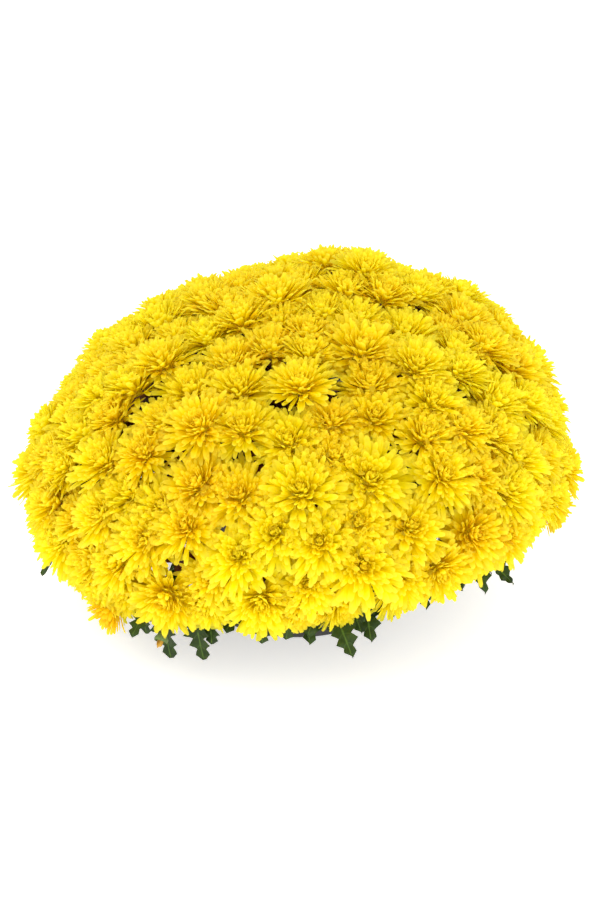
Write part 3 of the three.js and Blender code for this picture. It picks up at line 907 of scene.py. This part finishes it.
def leaf_points(length, width, droop, fold, wave):
    """Points of a leaf, and how far along, across and away from the midrib each one is."""
    points = []
    places = []
    for s, half, forward in LEAF_EDGE:
        for j in range(LEAF_COLUMNS):
            c = 2 * j / (LEAF_COLUMNS - 1) - 1
            x = length * (s + forward * abs(c))
            y = width * half * c
            ripple = wave * math.sin(WAVE_ALONG * s + WAVE_ACROSS * c) * abs(c)
            points.append((x, y, -droop * s * s * length + fold * abs(y) + ripple))
            places.append((s, 0.5 + 0.5 * c, abs(c)))
    return np.array(points), places


def add_leaf(shape, foot, pointing, facing, rng, size, slot=MAIN_SLOT):
    x = pointing.normalized()
    y = facing.cross(x).normalized()
    length = LEAF_LENGTH * size * rng.uniform(*LEAF_LENGTH_VARIES)
    width = LEAF_WIDTH * size * rng.uniform(*LEAF_WIDTH_VARIES)
    bends = [rng.uniform(*span) for span in (LEAF_DROOP, LEAF_FOLD, LEAF_WAVE)]
    points, places = leaf_points(length, width, *bends)
    points = placed(points, foot, (x, y, x.cross(y)))
    tone = rng.uniform(0, 1)
    looks = [(*place, tone) for place in places]
    faces = grid_faces(len(LEAF_EDGE), LEAF_COLUMNS)
    shape.add(points, faces, slot, looks, [(across, along) for along, across, _ in places])


def out_and_across(bearing):
    out = around(bearing, 1, 0)
    return out, Vector((-out.y, out.x, 0))


def leafy_shoot(side, bearing, materials, rng):
    """A side shoot that arches over the rim, with leaves under the blooms and below the edge."""
    shape = Shape()
    out, across = out_and_across(bearing)
    tilt = MOUND_TILT * MOUND_RADIUS * out.x
    soil_top = POT_HEIGHT - SOIL_BELOW_RIM + SOIL_DOME
    path = [around(bearing, SHOOT_FOOT, soil_top + SHOOT_ABOVE_SOIL)]
    for reach, above_rim, tilted in SHOOT_PATH:
        height = POT_HEIGHT + above_rim + tilted * tilt
        path.append(around(bearing, reach * POT_RIM_RADIUS, height))
    path = smooth_path(path, BRANCH_STEPS)
    add_tube(shape, path, tapered(SHOOT_RADII, len(path)), BRANCH_SIDES, STALK_SLOT)
    add_rim_leaves(shape, path, out, across, rng)
    add_edge_leaves(shape, bearing, rng)
    add_hanging_leaves(shape, side, rng)
    add_under_leaves(shape, bearing, rng)
    piece = shape.build("leaves_" + side, materials, mapped=True)
    finish_piece(piece, "leaves", "leafy_shoot_" + side)


def add_rim_leaves(shape, path, out, across, rng):
    for along, turn, slope in RIM_LEAVES:
        node = path[int(along * (len(path) - 1))]
        spread = math.radians(turn + rng.uniform(-RIM_LEAF_TURN, RIM_LEAF_TURN))
        pointing = math.cos(spread) * out + math.sin(spread) * across
        pointing.z = slope + rng.uniform(-RIM_LEAF_SLOPE, RIM_LEAF_SLOPE)
        size = rng.uniform(*RIM_LEAF_SIZES)
        add_leaf(shape, node, pointing, UP + RIM_LEAF_FACE_OUT * out, rng, size)


def add_edge_leaves(shape, bearing, rng):
    """Leaves that hang out from under the lowest blooms, in one eighth of the mound's round."""
    for i in range(EDGE_LEAVES):
        off_middle = SIDE_ANGLE * ((i + 0.5) / EDGE_LEAVES - 0.5)
        stray = rng.uniform(-EDGE_LEAF_STRAY, EDGE_LEAF_STRAY)
        at_bearing = bearing + math.radians(off_middle + stray)
        out, across = out_and_across(at_bearing)
        foot = mound_point(at_bearing, -1) - rng.uniform(*EDGE_LEAF_INSET) * out
        foot.z -= rng.uniform(*EDGE_LEAF_BELOW)
        pointing = out + rng.uniform(-EDGE_LEAF_SWING, EDGE_LEAF_SWING) * across
        pointing.z = -rng.uniform(*EDGE_LEAF_SLOPE)
        size = rng.uniform(*EDGE_LEAF_SIZES)
        add_leaf(shape, foot, pointing, UP + EDGE_LEAF_FACE_OUT * out, rng, size)


def add_hanging_leaves(shape, side, rng):
    for degrees, below in HANGING_LEAVES.get(side, []):
        bearing = math.radians(degrees)
        out, across = out_and_across(bearing)
        foot = mound_point(bearing, -1) - HANGING_INSET * out + HANGING_LIFT * UP
        swing = rng.uniform(-HANGING_SWING, HANGING_SWING)
        pointing = HANGING_OUT * out + swing * across - UP
        size = (HANGING_HIDDEN + below) / (HANGING_SHARE * LEAF_LENGTH)
        add_leaf(shape, foot, pointing, out + HANGING_FACE_UP * UP, rng, size)


def add_under_leaves(shape, bearing, rng):
    """Leaves just inside the mound's surface, in one eighth of its round."""
    for _ in range(UNDER_LEAVES):
        stray = rng.uniform(-UNDER_LEAF_SPREAD, UNDER_LEAF_SPREAD)
        at_bearing = bearing + math.radians(stray)
        level = rng.uniform(*UNDER_LEAF_LEVELS)
        normal = mound_normal(at_bearing, level)
        at = mound_point(at_bearing, level) - rng.uniform(*UNDER_LEAF_DEPTHS) * normal
        around_it = normal.orthogonal().normalized()
        angle = rng.uniform(0, 2 * math.pi)
        pointing = math.cos(angle) * around_it + math.sin(angle) * normal.cross(around_it)
        foot = at - UNDER_LEAF_BACK * pointing
        pointing = pointing + UNDER_LEAF_RISE * normal
        add_leaf(shape, foot, pointing, normal, rng, UNDER_LEAF_SIZE, SHADED_SLOT)


# Stems

def share_forks(forks):
    """The forks that each main stem carries, which are those on its side."""
    shares = [[] for _ in range(STEM_COUNT)]
    for fork in forks:
        shares[side_of(math.atan2(fork.x, -fork.y), STEM_COUNT)].append(fork)
    return shares


def main_stem(index, forks, materials, rng):
    bearing = 2 * math.pi * index / STEM_COUNT
    foot = around(bearing, STEM_RING, POT_HEIGHT - SOIL_BELOW_RIM - STEM_DEPTH_IN_SOIL)
    top = around(bearing, STEM_RING * STEM_SPREAD, POT_HEIGHT + STEM_ABOVE_RIM)
    shape = Shape()
    middle = foot.lerp(top, 0.5) + Vector(rng.uniform(-STEM_SWAY, STEM_SWAY, 3))
    trunk = smooth_path([foot, middle, top], STEM_STEPS)
    radii = [STEM_RADIUS * (1 - STEM_TAPER * i) for i in range(len(trunk))]
    add_tube(shape, trunk, radii, STEM_SIDES)
    for fork in forks:
        end = towards_stems(fork, FORK_RADIUS)
        bend = top.lerp(end, BRANCH_BEND_SHARE)
        bend.z += BRANCH_BEND_LIFT
        path = smooth_path([top - BRANCH_START_BELOW * UP, bend, end], BRANCH_STEPS)
        add_tube(shape, path, tapered(BRANCH_RADII, len(path)), BRANCH_SIDES)
    piece = shape.build(f"stem_{index + 1}", materials)
    finish_piece(piece, "stems", f"main_stem_{index + 1}")


# Pot and soil

def lathe(shape, profile, sides):
    points = [point for radius, height in profile for point in ring(radius, height, sides)]
    shape.add(points, ring_faces(len(profile), sides))


def rounded(profile, radius):
    """The profile with each inner corner rounded."""
    result = [profile[0]]
    for before, here, after in zip(profile, profile[1:], profile[2:]):
        here = Vector(here)
        one = Vector(before) - here
        two = Vector(after) - here
        cut = min(radius, ROUNDING_REACH * one.length, ROUNDING_REACH * two.length)
        start = here + cut * one.normalized()
        end = here + cut * two.normalized()
        for k in range(ROUNDING_STEPS + 1):
            t = k / ROUNDING_STEPS
            point = (1 - t) ** 2 * start + 2 * t * (1 - t) * here + t * t * end
            result.append(tuple(point))
    result.append(profile[-1])
    return result


def pot_profile():
    """Radius and height along the pot's section, up its outside and down its inside."""
    lip_foot = POT_HEIGHT - POT_LIP_HEIGHT
    body_top = POT_RIM_RADIUS - POT_LIP_STEP - POT_EDGE
    return [
        (NEAR_AXIS, 0),
        (POT_BASE_RADIUS - POT_FINE_EDGE, 0),
        (POT_BASE_RADIUS, 2 * POT_FINE_EDGE),
        (body_top, lip_foot),
        (body_top + POT_LIP_STEP, lip_foot + POT_EDGE),
        (POT_RIM_RADIUS, POT_HEIGHT - POT_FINE_EDGE),
        (POT_RIM_RADIUS - POT_FINE_EDGE, POT_HEIGHT),
        (POT_RIM_RADIUS - POT_WALL, POT_HEIGHT - 0.5 * POT_FINE_EDGE),
        (body_top + POT_LIP_STEP - POT_WALL, lip_foot + 2 * POT_EDGE),
        (body_top - POT_WALL, lip_foot),
        (POT_BASE_RADIUS - POT_WALL, POT_FLOOR + POT_EDGE),
        (NEAR_AXIS, POT_FLOOR),
    ]


def pot(material):
    shape = Shape()
    lathe(shape, rounded(pot_profile(), POT_ROUNDING), POT_SIDES)
    piece = shape.build("pot", [material])
    cut_holes(piece)
    for polygon in piece.data.polygons:
        polygon.use_smooth = abs(polygon.normal.z) < FLAT_FACE
    finish_piece(piece, "pot", "nursery_pot")


def cut_holes(piece):
    low, high = DRAIN_CUT
    profile = [(NEAR_AXIS, low), (DRAIN_RADIUS, low), (DRAIN_RADIUS, high), (NEAR_AXIS, high)]
    for i in range(DRAIN_HOLES):
        angle = 2 * math.pi * (i + 0.5) / DRAIN_HOLES
        cutter_shape = Shape()
        lathe(cutter_shape, profile, DRAIN_SIDES)
        cutter = cutter_shape.build("drain_cutter", [])
        cutter.location = Vector((math.cos(angle), math.sin(angle), 0)) * DRAIN_RING * MM
        change = piece.modifiers.new("drain", "BOOLEAN")
        change.operation = "DIFFERENCE"
        change.object = cutter
        bpy.context.view_layer.objects.active = piece
        bpy.ops.object.modifier_apply(modifier=change.name)
        bpy.data.objects.remove(cutter)


def soil_height(reach, radius):
    return POT_HEIGHT - SOIL_BELOW_RIM + SOIL_DOME * (1 - (reach / radius) ** 2)


def soil(material, grain_material, rng):
    radius = POT_RIM_RADIUS - POT_LIP_STEP - POT_EDGE - POT_WALL - SOIL_SIDE_GAP
    base = POT_BASE_RADIUS - POT_WALL - SOIL_FLOOR_GAP
    points = ring(base, POT_FLOOR + SOIL_FLOOR_GAP, SOIL_SIDES)
    for i in range(SOIL_RINGS + 1):
        reach = radius * (1 - i / SOIL_RINGS) + NEAR_AXIS
        for x, y, height in ring(reach, soil_height(reach, radius), SOIL_SIDES):
            lump = rng.uniform(*SOIL_LUMPS) if i else 0
            points.append((x, y, height + lump))
    shape = Shape()
    shape.add(points, [first_ring(SOIL_SIDES)] + ring_faces(SOIL_RINGS + 2, SOIL_SIDES))
    for _ in range(GRAINS):
        add_grain(shape, radius, rng)
    piece = shape.build("soil", [material, grain_material], smooth=False)
    finish_piece(piece, "soil", "potting_soil")


def add_grain(shape, radius, rng):
    """A crumb of bark or a white grain that lies on the soil."""
    reach = radius * math.sqrt(rng.uniform(0, GRAIN_AREA))
    angle = rng.uniform(0, 2 * math.pi)
    size = rng.uniform(*GRAIN_SIZES)
    height = soil_height(reach, radius) + GRAIN_LIFT
    middle = np.array([reach * math.cos(angle), reach * math.sin(angle), height])
    points = middle + GRAIN_CORNERS * size * rng.uniform(*GRAIN_SHAPES, (6, 3))
    slot = GRAIN_SLOT if rng.uniform() < PALE_GRAINS else MAIN_SLOT
    shape.add(points, GRAIN_FACES, slot)


# Materials

# A short way to write a material's nodes
class Nodes:
    def __init__(self, name):
        self.material = bpy.data.materials.new(name)
        self.material.use_nodes = True
        self.tree = self.material.node_tree
        self.shader = self.tree.nodes["Principled BSDF"]
        self.output = self.tree.nodes["Material Output"]

    def add(self, kind, **settings):
        node = self.tree.nodes.new(kind)
        for key, value in settings.items():
            setattr(node, key, value)
        return node

    def link(self, source, target):
        self.tree.links.new(source, target)

    def feed(self, value, socket):
        """Gives a socket a number, a colour or what another node puts out."""
        if isinstance(value, (int, float)):
            socket.default_value = value
        elif isinstance(value, tuple):
            socket.default_value = (*value, 1)
        else:
            self.link(value, socket)

    def noise(self, scale, detail=3.0, roughness=0.55):
        node = self.add("ShaderNodeTexNoise")
        node.inputs["Scale"].default_value = scale
        node.inputs["Detail"].default_value = detail
        node.inputs["Roughness"].default_value = roughness
        coordinates = self.add("ShaderNodeTexCoord")
        self.link(coordinates.outputs["Object"], node.inputs["Vector"])
        return node.outputs["Fac"]

    def ramp(self, factor, stops):
        node = self.add("ShaderNodeValToRGB")
        elements = node.color_ramp.elements
        while len(elements) < len(stops):
            elements.new(0.5)
        for element, (position, colour) in zip(elements, stops):
            element.position = position
            element.color = (*colour, 1)
        self.link(factor, node.inputs["Fac"])
        return node.outputs["Color"]

    def mix(self, factor, one, two):
        node = self.add("ShaderNodeMix", data_type="RGBA")
        self.feed(factor, node.inputs[0])
        self.feed(one, node.inputs[6])
        self.feed(two, node.inputs[7])
        return node.outputs[2]

    def sums(self, kind, one, two):
        node = self.add("ShaderNodeMath", operation=kind)
        self.feed(one, node.inputs[0])
        self.feed(two, node.inputs[1])
        return node.outputs[0]

    def span(self, value, low, high):
        node = self.add("ShaderNodeMapRange")
        self.link(value, node.inputs["Value"])
        node.inputs["To Min"].default_value = low
        node.inputs["To Max"].default_value = high
        return node.outputs["Result"]

    def surface(self, colour, roughness, patches, bump):
        """The shader's colour, its range of roughness over a noise, and its bumps."""
        self.link(colour, self.shader.inputs["Base Color"])
        self.link(self.span(self.noise(**patches), *roughness), self.shader.inputs["Roughness"])
        if bump:
            self.bump(**bump)

    def bump(self, scale, detail, strength, distance):
        node = self.add("ShaderNodeBump")
        node.inputs["Strength"].default_value = strength
        node.inputs["Distance"].default_value = distance
        self.link(self.noise(scale, detail), node.inputs["Height"])
        self.link(node.outputs["Normal"], self.shader.inputs["Normal"])

    def look(self):
        """The four numbers that a mesh carries at each point."""
        node = self.add("ShaderNodeVertexColor", layer_name="look")
        split = self.add("ShaderNodeSeparateColor")
        self.link(node.outputs["Color"], split.inputs["Color"])
        red, green, blue = (split.outputs[name] for name in ("Red", "Green", "Blue"))
        return red, green, blue, node.outputs["Alpha"]

    def see_through(self, colour, share):
        """Lets some of the light that falls on a thin petal or leaf out on its other side."""
        behind = self.add("ShaderNodeBsdfTranslucent")
        self.link(colour, behind.inputs["Color"])
        both = self.add("ShaderNodeMixShader")
        both.inputs[0].default_value = share
        self.link(self.shader.outputs[0], both.inputs[1])
        self.link(behind.outputs[0], both.inputs[2])
        self.link(both.outputs[0], self.output.inputs["Surface"])


def petal_material(name, colours, through):
    painted_foot_shade, body, tip, heart = colours
    nodes = Nodes(name)
    along, own, bloom, outward = nodes.look()
    # The foot of each petal is painted darker amber, as the shade that falls in the crevices
    # between petals
    colour = nodes.ramp(along, [(0.0, painted_foot_shade), (0.35, body), (0.7, body), (1.0, tip)])
    colour = nodes.mix(nodes.span(outward, HEART_GOLD, 0.0), colour, heart)
    varied = nodes.add("ShaderNodeHueSaturation")
    nodes.link(colour, varied.inputs["Color"])
    nodes.link(nodes.span(own, *PETAL_TONES), varied.inputs["Value"])
    nodes.link(nodes.span(bloom, *BLOOM_HUES), varied.inputs["Hue"])
    speck = nodes.span(nodes.noise(scale=420, detail=4), *SPECK_SHARES)
    colour = nodes.mix(speck, varied.outputs["Color"], PETAL_SPECK)
    nodes.surface(colour, roughness=(0.45, 0.68), patches={"scale": 260},
                  bump={"scale": 700, "detail": 4, "strength": 0.25, "distance": 0.0004})
    nodes.shader.inputs["Specular IOR Level"].default_value = PETAL_SHINE
    nodes.see_through(colour, through)
    return nodes.material


def lighter(colour, times):
    return tuple(times * part for part in colour)


def leaf_material(name, colours):
    dark, light = colours
    nodes = Nodes(name)
    along, _, edge, tone = nodes.look()
    colour = nodes.ramp(nodes.noise(scale=90, detail=4), [(0.3, dark), (0.7, light)])
    pale = lighter(light, VEIN_PALENESS)
    midrib = nodes.ramp(edge, [(0.0, WHITE), (MIDRIB_WIDTH, BLACK)])
    colour = nodes.mix(midrib, colour, pale)
    lean = nodes.sums("MULTIPLY", edge, VEIN_LEAN)
    lobe_length = (1 - LEAF_STALK_SHARE) / LEAF_LOBES
    lobe = nodes.sums("DIVIDE", nodes.sums("SUBTRACT", along, lean), lobe_length)
    vein = nodes.ramp(nodes.sums("FRACT", lobe, 0), [(0.0, GREY), (VEIN_WIDTH, BLACK),
                                                     (1 - VEIN_WIDTH, BLACK), (1.0, GREY)])
    colour = nodes.mix(vein, colour, pale)
    toned = nodes.span(tone, 0.0, TONED_SHARE)
    colour = nodes.mix(toned, colour, lighter(light, LEAF_PALENESS))
    nodes.surface(colour, roughness=(0.38, 0.62), patches={"scale": 200},
                  bump={"scale": 320, "detail": 5, "strength": 0.5, "distance": 0.0008})
    nodes.shader.inputs["Specular IOR Level"].default_value = LEAF_SHINE
    nodes.see_through(colour, LEAF_THROUGH)
    return nodes.material


def stem_material(name, colours):
    young, old = colours
    nodes = Nodes(name)
    colour = nodes.ramp(nodes.noise(scale=60, detail=4), [(0.3, young), (0.75, old)])
    nodes.surface(colour, roughness=(0.5, 0.8), patches={"scale": 200},
                  bump={"scale": 500, "detail": 4, "strength": 0.5, "distance": 0.0006})
    return nodes.material


def pot_material():
    dark, light = POT
    nodes = Nodes("pot_plastic")
    colour = nodes.ramp(nodes.noise(scale=14, detail=5), [(0.3, dark), (0.75, light)])
    dusty = nodes.noise(scale=70, detail=6, roughness=0.7)
    dust = nodes.ramp(dusty, [(0.55, BLACK), (0.75, DUST_SHARE)])
    colour = nodes.mix(dust, colour, POT_DUST)
    nodes.surface(colour, roughness=(0.42, 0.66), patches={"scale": 40, "detail": 5},
                  bump={"scale": 900, "detail": 3, "strength": 0.2, "distance": 0.0003})
    return nodes.material


def soil_material(name, colours):
    dark, light = colours
    nodes = Nodes(name)
    patches = nodes.noise(scale=240, detail=6, roughness=0.7)
    colour = nodes.ramp(patches, [(0.3, dark), (0.7, light)])
    nodes.surface(colour, roughness=(0.8, 0.98), patches={"scale": 150},
                  bump={"scale": 600, "detail": 6, "strength": 0.8, "distance": 0.0015})
    return nodes.material


def floor_material():
    dark, light = FLOOR
    nodes = Nodes("floor")
    colour = nodes.ramp(nodes.noise(scale=3, detail=3), [(0.3, dark), (0.7, light)])
    nodes.surface(colour, roughness=(0.75, 0.9), patches={"scale": 20}, bump=None)
    nodes.shader.inputs["Emission Color"].default_value = (*WHITE, 1)
    nodes.shader.inputs["Emission Strength"].default_value = FLOOR_GLOW
    return nodes.material


# Camera, light and floor

def add_camera():
    data = bpy.data.cameras.new("camera")
    data.lens = CAMERA_LENS
    data.sensor_width = CAMERA_SENSOR
    camera = bpy.data.objects.new("camera", data)
    bpy.context.scene.collection.objects.link(camera)
    elevation = math.radians(CAMERA_ELEVATION)
    back = Vector((0, -math.cos(elevation), math.sin(elevation)))
    camera.location = CAMERA_TARGET + CAMERA_DISTANCE * back
    camera.rotation_euler = back.to_track_quat("Z", "Y").to_euler()
    bpy.context.scene.camera = camera


def add_lamp(name, place, size, power):
    data = bpy.data.lights.new(name, "AREA")
    data.shape = "DISK"
    data.size = size
    data.energy = power
    lamp = bpy.data.objects.new(name, data)
    bpy.context.scene.collection.objects.link(lamp)
    lamp.location = Vector(place)
    aim = LAMP_TARGET - lamp.location
    lamp.rotation_euler = aim.to_track_quat("-Z", "Y").to_euler()


def add_stage():
    corners = [(-1, -1), (1, -1), (1, 1), (-1, 1)]
    points = [(FLOOR_REACH * x, FLOOR_REACH * y, -FLOOR_BELOW) for x, y in corners]
    shape = Shape()
    shape.add(points, [(0, 1, 2, 3)])
    floor = shape.build("floor", [floor_material()])
    world = bpy.data.worlds.new("studio")
    bpy.context.scene.world = world
    world.use_nodes = True
    background = world.node_tree.nodes["Background"]
    background.inputs["Color"].default_value = (*WHITE, 1)
    background.inputs["Strength"].default_value = WORLD_LIGHT
    for lamp in LAMPS:
        add_lamp(**lamp)
    bpy.context.scene.view_settings.view_transform = "Standard"


def add_blooms(sprays, sepals, rng):
    open_petals = petal_material("petal", OPEN_PETAL, through=0.66)
    opening_petals = petal_material("opening_petal", OPENING_PETAL, through=0.25)
    bud_petals = petal_material("bud_petal", BUD_PETAL, through=0.15)
    # The sprays' stalks and calyces carry painted shade, the maroon-brown of the gaps between
    # blooms
    stalks = stem_material("bloom_stalk", SHADED_BLOOM_STALK)
    for name, members in sorted(sprays.items()):
        bloom_spray(name, members, [open_petals, stalks], rng)
    for values in HALF_OPEN_BLOOMS:
        half_open_bloom(*values, [opening_petals, sepals], rng)
    for values in BUDS:
        flower_bud(*values, [bud_petals, sepals], rng)


def add_stems_and_leaves(sprays, sepals, rng):
    twigs = stem_material("stem", STEM)
    leaves = leaf_material("leaf", LEAF)
    # The shaded leaf is the leaf in painted shade, for the leaves inside the mound
    shaded = leaf_material("shaded_leaf", SHADED_LEAF)
    shares = share_forks([fork_of(members) for members in sprays.values()])
    for index in range(STEM_COUNT):
        main_stem(index, shares[index], [twigs], rng)
    for side, degrees in SIDES:
        leafy_shoot(side, math.radians(degrees + SHOOT_TURN), [leaves, sepals, shaded], rng)


def main():
    add_camera()
    add_stage()
    rng = np.random.default_rng(LOOK_SEED)
    sprays = gather_sprays(place_blooms())
    sepals = stem_material("sepal", SEPAL)
    add_blooms(sprays, sepals, rng)
    add_stems_and_leaves(sprays, sepals, rng)
    pot(pot_material())
    soil(soil_material("soil", SOIL), soil_material("soil_grain", SOIL_GRAIN), rng)


main()
